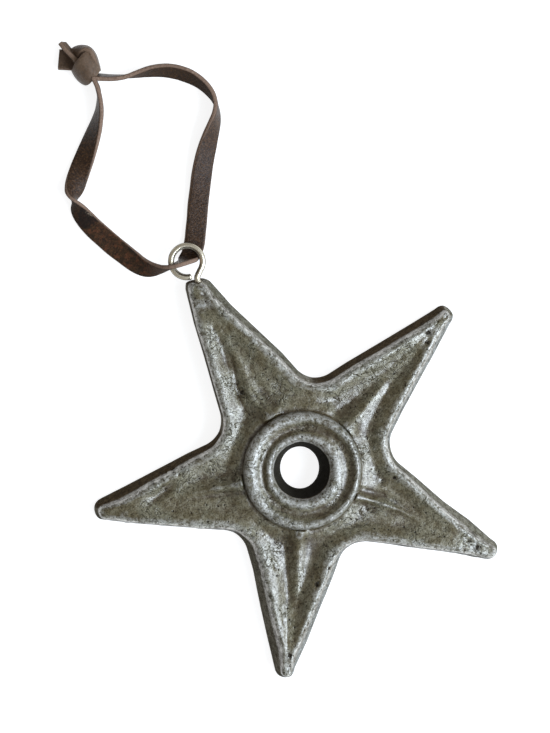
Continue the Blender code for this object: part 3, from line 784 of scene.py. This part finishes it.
def star_stations():
    stations = []
    for number in range(len(ARMS)):
        stations += half_arm(number, -1)[:0:-1] + half_arm(number, 1)[:-1]
    return stations


def face_grid(stations):
    """Points of the face along each station: x, y and height, and how far each is in from the outline."""
    at = Station(*[np.array(values)[:, None] for values in zip(*stations)])
    spans = np.linalg.norm(at.end - at.foot, axis=2)
    half_crests = np.minimum(CREST_WIDTH / 2, 0.5 * (spans - at.wall))
    middle = at.wall + half_crests
    inside = middle + (spans - middle) * np.arange(1, INNER_STEPS + 1) / INNER_STEPS
    distance = np.concatenate([at.wall * WALL_SHARES, at.wall + half_crests * CREST_SHARES, inside], axis=1)
    distance[:, 0] = BACK_ROUND
    points = at.foot + (at.end - at.foot) / spans[..., None] * distance[..., None]
    height = relief(points, distance, at, spans, half_crests)
    height[:, 0] = 0
    height[:, 1] = BACK_ROUND
    return np.concatenate([points, height[..., None]], axis=2), distance


def hub_column(end, foot_height):
    """Points of the hub from its foot at the end of a station, over the ring and lip and down the hole."""
    way = end / HUB_RADIUS
    angle = atan2(way[1], way[0])
    first_radius, first_height = HUB_PROFILE[0]
    column = []
    for share in (0.25, 0.5, 0.75):
        radius = HUB_RADIUS + (first_radius - HUB_RADIUS) * share
        column.append((radius, foot_height + (first_height - foot_height) * share ** 1.3))
    points = []
    for radius, z in (*column, *HUB_PROFILE):
        deep = min(1.0, max(0.0, (10 - z) / 10)) if radius < HOLE_EDGE else 0.0
        oval = 1 + HOLE_OVAL * deep * cos(2 * (angle - radians(90 - PHOTO_TURN)))
        shift = GROOVE_SHIFT * exp(-((radius - GROOVE_RADIUS) / GROOVE_WIDTH) ** 2)
        reach = radius * oval + shift * cos(angle - radians(GROOVE_SIDE - PHOTO_TURN))
        points.append((way[0] * reach, way[1] * reach, z))
    return points


def build_star(cast_metal):
    stations = star_stations()
    grid, distance = face_grid(stations)
    count, depth = distance.shape
    walls = np.array([station.wall for station in stations])[:, None]
    verts = list(grid.reshape(-1, 3))
    wall_and_hole_shade = list((distance <= walls * 0.99).astype(float).ravel())
    crests = list(np.exp(-((distance - walls - 0.35) / 0.3) ** 2).ravel())
    rows = np.arange(count * depth).reshape(count, depth).tolist()
    columns = []
    for station, row in zip(stations, rows):
        if abs(np.linalg.norm(station.end) - HUB_RADIUS) < 0.001:
            points = hub_column(station.end, verts[row[-1]][2])
            columns.append([row[-1], *range(len(verts), len(verts) + len(points))])
            verts += points
            for x, y, z in points:
                in_hole = np.hypot(x, y) < HOLE_EDGE
                # Deep in the hole the wall value rises to 2, which paints the hole's wall near black: painted shade.
                wall_and_hole_shade.append(2 * float(smooth_step((10.2 - z) / 1.6)) if in_hole else 0.0)
    crests += [0.0] * (len(verts) - len(crests))
    faces = quads(rows + rows[:1]) + quads(columns + columns[:1])
    star = add_mesh("star_relief", [(x * MM, y * MM, z * MM) for x, y, z in verts], faces, cast_metal,
                    "star", "cast_metal", [("wall", wall_and_hole_shade), ("crest", crests)])
    close_back(star)
    roughen(star)
    star.data.set_sharp_from_angle(angle=radians(50))
    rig.replaces(star, "star_casting")


def close_back(star):
    """Fills the flat back between the outline and the hole."""
    work = bmesh.new()
    work.from_mesh(star.data)
    bmesh.ops.remove_doubles(work, verts=work.verts, dist=0.002 * MM)
    rim = [edge for edge in work.edges if edge.is_boundary]
    bmesh.ops.triangle_fill(work, edges=rim, use_beauty=True, use_dissolve=False, normal=-UP)
    bmesh.ops.recalc_face_normals(work, faces=work.faces)
    work.to_mesh(star.data)
    work.free()
    star.data.shade_smooth()


def spread(values, edges, rounds):
    """Values averaged again and again with those of the neighbouring vertices."""
    ends = edges.ravel()
    others = edges[:, ::-1].ravel()
    neighbours = np.bincount(ends)
    for _ in range(rounds):
        values = 0.5 * values + 0.5 * np.bincount(ends, values[others]) / neighbours
    return values


def proudness(points, normals, edges, rounds):
    """How far each vertex stands out from the smoothed surface round it."""
    smoothed = np.stack([spread(points[:, axis], edges, rounds) for axis in range(3)], axis=1)
    return ((points - smoothed) * normals).sum(axis=1)


def pitting(points, normals):
    """The radius of the casting pit that each vertex of the face is in, less towards the pit's edge."""
    pitted = np.zeros(len(points))
    for place, radius in all_pits():
        away = np.linalg.norm(points[:, :2] - place, axis=1)
        pitted = np.maximum(pitted, radius * np.exp(-(away / radius) ** 2))
    return np.where(normals[:, 2] > 0.3, pitted, 0)


def roughen(star):
    """The pits and uneven skin of a sand casting, and attributes for its wear, dirt and pits, and the way it faces, by
    which its walls are painted light and shade as well as rust.
    """
    mesh = star.data
    points = np.array([vert.co for vert in mesh.vertices]) / MM
    normals = np.array([vert.normal for vert in mesh.vertices])
    near_tip = smooth_step((np.linalg.norm(points[:, :2], axis=1) - TIP_WEAR_START) / TIP_WEAR_FADE)
    skin = sum(height * noise_at(points, size, seed) for height, size, seed in SKIN)
    skin += TIP_SKIN[0] * near_tip * noise_at(points, *TIP_SKIN[1:])
    pitted = pitting(points, normals)
    lift = np.clip(points[:, 2] / 2.0, 0, 1)
    points += normals * ((skin - pitted * PIT_DEPTH) * lift)[:, None]
    points[:, 2] = np.maximum(points[:, 2], 0)
    moved = (points + np.array((STAR_CENTRE.x, STAR_CENTRE.y, 0)) / MM) * MM
    mesh.vertices.foreach_set("co", moved.ravel())
    mesh.update()
    normals = np.array([vert.normal for vert in mesh.vertices])
    edges = np.array([edge.vertices[:] for edge in mesh.edges])
    proud = [proudness(points, normals, edges, rounds) / full for rounds, full in PROUD]
    wear = sum(np.clip(share, 0, 1) * 0.5 for share in proud)
    dirt = sum(np.clip(-share, 0, 1) * 0.5 for share in proud)
    worn_tip = near_tip * np.clip(noise_at(points, 3.0, 4.0) + 0.5, 0, 1)
    set_attribute(mesh, "wear", np.maximum(wear, worn_tip * (normals[:, 2] > 0.5)))
    set_attribute(mesh, "dirt", dirt)
    set_attribute(mesh, "pit", np.clip(pitted * 3 - 0.4, 0, 1))
    # The way each vertex faces: by it the side walls are painted light and shade as well as rust.
    set_attribute(mesh, "rust", normals @ np.array(photo_direction(SHADED_RUSTY_SIDE, 0)))


# Eye

def eye_points():
    """Places along the wire, from inside the arm's tip to the open end of the ring, as in the CAD model."""
    axis, side = [Vector((*way, 0)) for way in arm_frame(0)[:2]]
    tip = axis * ARMS[0].reach + side * EYE_OFFSET + UP * EYE_HEIGHT
    middle = tip + axis * EYE_STANDOFF
    corner = tip + axis * EYE_LEG_START
    gap = corner - middle
    away = atan2(gap.y, gap.x)
    touch = away + acos(EYE_RADIUS / gap.length)
    touching = middle + Vector((cos(touch), sin(touch), 0)) * EYE_RADIUS
    leg = (touching - corner).normalized()
    points = [corner - axis * (EYE_LEG_START + SHANK_SHOWN)]
    for share in np.linspace(0, 1, num=11):
        before = corner - axis * EYE_BEND * (1 - share)
        after = corner + leg * EYE_BEND * share
        points.append(before.lerp(after, share))
    open_end = away + radians(EYE_OPEN_END - 270) + 2 * pi
    for angle in np.linspace(touch, open_end, num=111):
        points.append(middle + Vector((cos(angle), sin(angle), 0)) * EYE_RADIUS)
    return points


def build_eye(bright_wire):
    """The bent wire of the eye, round, with a slightly rounded cut end."""
    places = [STAR_CENTRE + place * MM for place in eye_points()]
    radii = [WIRE_RADIUS * MM] * len(places)
    last_way = way_at(places, len(places) - 1)
    for push, share in ((0.12, 0.9), (0.2, 0.6)):
        places.append(places[-1] + last_way * push * MM)
        radii.append(WIRE_RADIUS * share * MM)
    sides = 22
    verts = []
    for index, (place, radius) in enumerate(zip(places, radii)):
        square = way_at(places, index).cross(UP).normalized()
        for corner in range(sides):
            angle = 2 * pi * corner / sides
            dent = 1 + 0.02 * noise.noise(Vector((index / 7, 2 * cos(angle), 2 * sin(angle))))
            verts.append(place + (square * cos(angle) + UP * sin(angle)) * radius * dent)
    # Height round the wire, by which its top is painted as a highlight and its flanks as shade.
    heights = [(vert.z / MM - EYE_HEIGHT) / WIRE_RADIUS for vert in verts]
    faces = tube_faces(len(places), sides)
    eye = add_mesh("wire_eye", verts, faces, bright_wire, "star", "bright_wire", [("height", heights)])
    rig.replaces(eye, "screw_eye")


# Materials

def new_material(name):
    surface = bpy.data.materials.new(name)
    surface.use_nodes = True
    tree = surface.node_tree
    return surface, tree, tree.nodes["Principled BSDF"]


def set_inputs(node, inputs):
    """Joins other nodes' outputs to a node's inputs, or writes plain values in them."""
    for name, value in inputs.items():
        if isinstance(value, bpy.types.NodeSocket):
            node.id_data.links.new(value, node.inputs[name])
        else:
            node.inputs[name].default_value = value


def add_node(kind, output, inputs, tree=None, **settings):
    """One output of a new node. Where no tree is given, it joins the tree of the outputs among its inputs."""
    if tree is None:
        tree = next(value.id_data for value in inputs.values() if isinstance(value, bpy.types.NodeSocket))
    node = tree.nodes.new("ShaderNode" + kind)
    for name, value in settings.items():
        setattr(node, name, value)
    set_inputs(node, inputs)
    return node.outputs[output]


def object_place(tree):
    return add_node("TexCoord", "Object", {}, tree)


def attribute(tree, name):
    return add_node("Attribute", "Fac", {}, tree, attribute_name=name)


def noise_texture(place, size, detail=3.0, roughness=0.55, distortion=0.0):
    """Noise with features of about the given size in millimetres."""
    shape = {"Detail": detail, "Roughness": roughness, "Distortion": distortion}
    return add_node("TexNoise", "Fac", {"Vector": place, "Scale": 1 / (size * MM), **shape})


def calculate(operation, a, b=0.0):
    return add_node("Math", 0, {0: a, 1: b}, operation=operation, use_clamp=True)


def product(a, b):
    return calculate("MULTIPLY", a, b)


def rescale(value, low, high, new_low=0.0, new_high=1.0):
    inputs = {"Value": value, "From Min": low, "From Max": high, "To Min": new_low, "To Max": new_high}
    return add_node("MapRange", "Result", inputs)


def colour_ramp(value, stops):
    colour = add_node("ValToRGB", "Color", {"Fac": value})
    elements = colour.node.color_ramp.elements
    while len(elements) < len(stops):
        elements.new(0.5)
    for element, (position, colour_there) in zip(elements, stops):
        element.position = position
        element.color = colour_there
    return colour


def mix_colours(share, first, second, blend="MIX"):
    return add_node("Mix", 2, {"Factor": share, 6: first, 7: second}, data_type="RGBA", blend_type=blend)


def bump(height, distance):
    """Bumps up to the given height in millimetres."""
    return add_node("Bump", "Normal", {"Height": height, "Distance": distance * MM})


METAL_BROWNS = ((0.36, srgb(64, 56, 37)), (0.50, srgb(105, 98, 71)), (0.66, srgb(141, 136, 113)))
# Colours of the side walls by the way they face, from away from the rusty side to towards it: painted light and shade,
# and rust.
SIDE_LIGHT_AND_RUST_COLOURS = (
    (0.20, srgb(160, 160, 154)), (0.38, srgb(118, 114, 96)), (0.60, srgb(130, 126, 110)),
    (0.82, srgb(188, 182, 166)), (0.93, srgb(104, 88, 64)),
)
LEATHER_GRAIN = ((0.34, srgb(34, 20, 9)), (0.5, srgb(54, 36, 21)), (0.66, srgb(88, 62, 40)))
LEATHER_FLESH = ((0.34, srgb(28, 16, 6)), (0.5, srgb(50, 31, 15)), (0.66, srgb(80, 54, 30)))
LEATHER_EDGE = ((0.3, srgb(88, 68, 54)), (0.5, srgb(126, 103, 87)), (0.7, srgb(158, 135, 118)))


def metal_face(tree, mottle, broad):
    """Colour of the decorated face: olive brown, greyer where it is rubbed, and dirty in its hollows."""
    base = colour_ramp(mottle, METAL_BROWNS)
    tint = colour_ramp(broad, ((0.42, srgb(85, 70, 38)), (0.56, srgb(123, 118, 96))))
    base = mix_colours(0.45, base, tint)
    rubbed = rescale(attribute(tree, "wear"), 0.25, 0.9, 0.0, 0.6)
    rubbed = product(rubbed, rescale(mottle, 0.40, 0.54, 0.1, 1.0))
    base = mix_colours(rubbed, base, srgb(186, 186, 182))
    dirty = rescale(attribute(tree, "dirt"), 0.03, 0.4, 0.0, 0.95)
    dirty = product(dirty, rescale(mottle, 0.36, 0.60, 1.0, 0.45))
    return mix_colours(dirty, base, srgb(68, 54, 32))


def metal_side_light_and_rust(tree, mottle):
    """Colour of the side walls, painted by the way they face: pale greys as painted light, and rusty brown, rust and
    painted shade, towards the rusty side.
    """
    facing_for_painted_light = rescale(attribute(tree, "rust"), -1.0, 1.0)
    side = colour_ramp(facing_for_painted_light, SIDE_LIGHT_AND_RUST_COLOURS)
    side_mottle = colour_ramp(mottle, ((0.36, (0.36, 0.32, 0.26, 1)), (0.60, (1, 1, 1, 1))))
    return mix_colours(1.0, side, side_mottle, "MULTIPLY")


def metal_holes(tree, place, mottle, broad):
    """1 in the casting pits and in scattered specks, and less along winding cracks in the skin."""
    cells = add_node("TexVoronoi", "Distance", {"Vector": place, "Scale": 1 / (1.9 * MM)})
    specks = product(rescale(cells, 0.10, 0.17, 1.0, 0.0), rescale(noise_texture(place, 4.0), 0.46, 0.52))
    pits = calculate("ADD", attribute(tree, "pit"), rescale(mottle, 0.35, 0.65, 0.4, -0.5))
    holes = calculate("MAXIMUM", specks, rescale(pits, 0.7, 0.9))
    winding = noise_texture(place, 3.2, 2.0, 0.5, 1.6)
    cracks = calculate("MINIMUM", rescale(winding, 0.46, 0.50), rescale(winding, 0.50, 0.54, 1.0, 0.0))
    return calculate("MAXIMUM", holes, product(cracks, rescale(broad, 0.48, 0.56, 0.0, 0.7)))


def cast_metal_material():
    """Old grey cast iron, brown in its hollows and rubbed to bright metal on what stands out, with painted light and
    shade on its side walls and painted shade, near black, deep in its hub hole.
    """
    surface, tree, shader = new_material("cast_metal_worn")
    place = object_place(tree)
    broad = noise_texture(place, 8.0)
    mottle = noise_texture(place, 1.6, 6.0, 0.72, 0.6)
    speckle = noise_texture(place, 0.45, 3.0, 0.7)
    wall = attribute(tree, "wall")
    # Side walls take painted light and shade, and rust, from the way they face.
    base = mix_colours(rescale(wall, 0.3, 0.9), metal_face(tree, mottle, broad), metal_side_light_and_rust(tree, mottle))
    scraped = product(attribute(tree, "crest"), rescale(mottle, 0.50, 0.54, 0.0, 0.85))
    base = mix_colours(scraped, base, srgb(216, 212, 200))
    grain = colour_ramp(speckle, ((0.38, (0.30, 0.27, 0.22, 1)), (0.50, (1, 1, 1, 1))))
    base = mix_colours(0.85, base, grain, "MULTIPLY")
    # Deep in the hub's hole the colour is near black: painted shade.
    hub_hole_painted_shade = rescale(wall, 1.1, 1.8)
    base = mix_colours(hub_hole_painted_shade, base, srgb(34, 30, 20))
    holes = metal_holes(tree, place, mottle, broad)
    base = mix_colours(product(holes, 0.9), base, srgb(34, 28, 20))
    polish = product(rescale(mottle, 0.36, 0.60, 0.35, 0.85), rescale(wall, 0.3, 0.9, 1.0, 0.0))
    polish = product(polish, rescale(speckle, 0.38, 0.50, 0.4, 1.0))
    rough = calculate("MAXIMUM", rescale(mottle, 0.35, 0.65, 0.50, 0.36), rescale(wall, 0.3, 0.9, 0.0, 0.95))
    height = calculate("ADD", product(speckle, 0.35), product(mottle, 0.65))
    height = calculate("SUBTRACT", height, product(holes, 0.4))
    set_inputs(shader, {
        "Base Color": base, "Metallic": rescale(wall, 0.3, 0.9, 0.3, 0.0), "Roughness": rough, "IOR": 1.25,
        "Coat Weight": calculate("SUBTRACT", polish, holes), "Coat Roughness": 0.27, "Coat IOR": 2.0,
        "Normal": bump(height, 0.4), "Coat Normal": bump(height, 0.14),
    })
    return surface


def leather_flesh(tree, place, fibre, patches):
    """Colour of the lace's rough inner side, with its rust, black smear and pale flecks."""
    flesh = colour_ramp(fibre, LEATHER_FLESH)
    flesh = mix_colours(rescale(patches, 0.4, 0.65, 0.0, 0.6), flesh, srgb(50, 37, 21))
    rust_spots = rescale(noise_texture(place, 1.2, 4.0, 0.65), 0.50, 0.64)
    rust = product(rust_spots, rescale(attribute(tree, "rust"), 0.0, 0.5))
    flesh = mix_colours(rust, flesh, srgb(86, 51, 30))
    smear = calculate("ADD", attribute(tree, "smear"), rescale(patches, 0.3, 0.7, -0.4, 0.4))
    smear = product(rescale(smear, 0.2, 0.4), rescale(fibre, 0.3, 0.7, 1.0, 0.7))
    flesh = mix_colours(smear, flesh, srgb(22, 14, 9))
    flecks = product(attribute(tree, "flecks"), rescale(fibre, 0.50, 0.58))
    return mix_colours(flecks, flesh, srgb(150, 134, 114))


def leather_material(name, rubbed):
    """Worn brown leather with a creased grain side, a rough flesh side and pale edges, paler where rubbed."""
    surface, tree, shader = new_material(name)
    place = object_place(tree)
    face = attribute(tree, "face")
    across = attribute(tree, "across")
    grain_side = rescale(face, 0.0, 0.9)
    fibre = noise_texture(place, 0.5, 4.0, 0.7)
    patches = noise_texture(place, 4.5)
    strip_place = add_node("CombineXYZ", "Vector", {"X": attribute(tree, "along"), "Y": across})
    strip_place = add_node("Mapping", "Vector", {"Vector": strip_place, "Scale": (MM, 1.3 * MM, MM)})
    creases = noise_texture(strip_place, 0.8, 3.0, 0.6, 1.2)
    grain = colour_ramp(fibre, LEATHER_GRAIN)
    grain = mix_colours(rescale(creases, 0.36, 0.46, 0.6, 0.0), grain, srgb(30, 21, 16))
    colour = mix_colours(grain_side, colour_ramp(fibre, LEATHER_EDGE), grain)
    flesh = leather_flesh(tree, place, fibre, patches)
    colour = mix_colours(rescale(face, -0.9, 0.0, 1.0, 0.0), colour, flesh)
    worn_rim = rescale(calculate("ABSOLUTE", across), 0.86, 0.96)
    worn_rim = product(worn_rim, rescale(patches, 0.3, 0.7, 0.25, 0.75))
    colour = mix_colours(worn_rim, colour, srgb(126, 103, 87))
    if rubbed:
        colour = mix_colours(rescale(patches, 0.35, 0.65, 0.35, 0.75), colour, srgb(118, 97, 78))
    height = calculate("ADD", product(fibre, 0.4), product(creases, 0.6))
    set_inputs(shader, {
        "Base Color": colour, "Roughness": rescale(grain_side, 0.0, 1.0, 0.8, 0.42),
        "Specular IOR Level": 0.25, "Normal": bump(height, 0.45 if rubbed else 0.36),
    })
    return surface


def bright_wire_material():
    """Nickelled wire with a painted highlight, pale cream, along its top and painted shade, dark brown and rough, on
    its flanks.
    """
    surface, tree, shader = new_material("bright_wire_nickel")
    place = object_place(tree)
    blotches = noise_texture(place, 1.6)
    # The top of the wire is painted as a pale highlight and its flanks as dark brown shade, by height round the wire.
    painted_lit_top = rescale(calculate("ADD", attribute(tree, "height"), product(blotches, 0.3)), 0.5, 0.95)
    set_inputs(shader, {
        "Base Color": mix_colours(painted_lit_top, srgb(74, 60, 42), srgb(240, 230, 206)),
        "Metallic": rescale(painted_lit_top, 0.0, 1.0, 0.1, 1.0), "IOR": 1.3,
        "Roughness": rescale(painted_lit_top, 0.0, 1.0, 0.75, 0.24),
        "Normal": bump(noise_texture(place, 0.5, 2.0), 0.04),
    })
    return surface


# Stage

def floor_material():
    """A pale floor that keeps its shadows. Where the camera or a reflection sees it, it is white."""
    surface, tree, shader = new_material("pale_floor")
    set_inputs(shader, {"Base Color": (0.42, 0.42, 0.42, 1), "Roughness": 1.0, "Specular IOR Level": 0.0})
    plain = shader.outputs[0]
    rays = tree.nodes.new("ShaderNodeLightPath").outputs
    seen = calculate("MAXIMUM", rays["Is Camera Ray"], rays["Is Glossy Ray"])
    seen = calculate("MAXIMUM", seen, rays["Is Transmission Ray"])
    glow = add_node("Emission", 0, {"Strength": 0.84}, tree)
    white = add_node("AddShader", 0, {0: plain, 1: glow})
    mixed = add_node("MixShader", 0, {0: seen, 1: plain, 2: white})
    set_inputs(tree.nodes["Material Output"], {"Surface": mixed})
    return surface


def photo_direction(angle, elevation):
    """A direction given by its angle in the photograph (0 right, 90 up) and its elevation, in degrees."""
    turn = radians(angle - PHOTO_TURN)
    rise = radians(elevation)
    return Vector((cos(turn) * cos(rise), sin(turn) * cos(rise), sin(rise)))


def build_world():
    """A soft sky, bright where the window would be and dim on the other side."""
    world = bpy.data.worlds.new("studio")
    world.use_nodes = True
    tree = world.node_tree
    ways = add_node("TexCoord", "Generated", {}, tree)
    towards = add_node("VectorMath", "Value", {0: ways, 1: photo_direction(*WINDOW)}, operation="DOT_PRODUCT")
    sky = colour_ramp(rescale(towards, -0.8, 1.0), SKY_COLOURS)
    set_inputs(tree.nodes["Background"], {"Color": sky, "Strength": 1.0})
    bpy.context.scene.world = world


def build_floor():
    mesh = bpy.data.meshes.new("floor")
    mesh.from_pydata([(x, y, 0) for x in FLOOR_ENDS for y in FLOOR_ENDS], [], [(0, 2, 3, 1)])
    mesh.materials.append(floor_material())
    floor = add_object("floor", mesh)
    floor.location.z = -FLOOR_GAP
    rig.stage(floor)


def build_lamp():
    """A soft window of bluish light, aimed at the ornament."""
    data = bpy.data.lights.new("key", "AREA")
    data.shape = "RECTANGLE"
    data.size, data.size_y = LAMP_SIZE
    data.energy = LAMP_POWER
    data.color = LAMP_COLOUR
    lamp = add_object("key", data)
    way = photo_direction(*LAMP_DIRECTION)
    lamp.location = LAMP_TARGET + way * LAMP_DISTANCE
    lamp.rotation_mode = "QUATERNION"
    lamp.rotation_quaternion = (-way).to_track_quat("-Z", "Y")


def main():
    bpy.context.scene.view_settings.view_transform = "Standard"
    make_camera()
    lace, path, length = build_lace(leather_material("lace_leather_worn", False))
    knot = build_knot(leather_material("knot_leather_worn", True))
    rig.cord(lace, exit=path[0], length=length, diameter=LACE_WIDTH, far_end="knot", stiffness="limp",
            lay="loose", path=path, with_pieces=knot)
    build_star(cast_metal_material())
    build_eye(bright_wire_material())
    build_floor()
    build_world()
    build_lamp()
    boxes = {"cad": [list(corner) for corner in CAD_BOX], "visual": [list(corner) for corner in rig.bounds()]}
    with open("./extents.json", "w") as out:
        json.dump(boxes, out)


main()
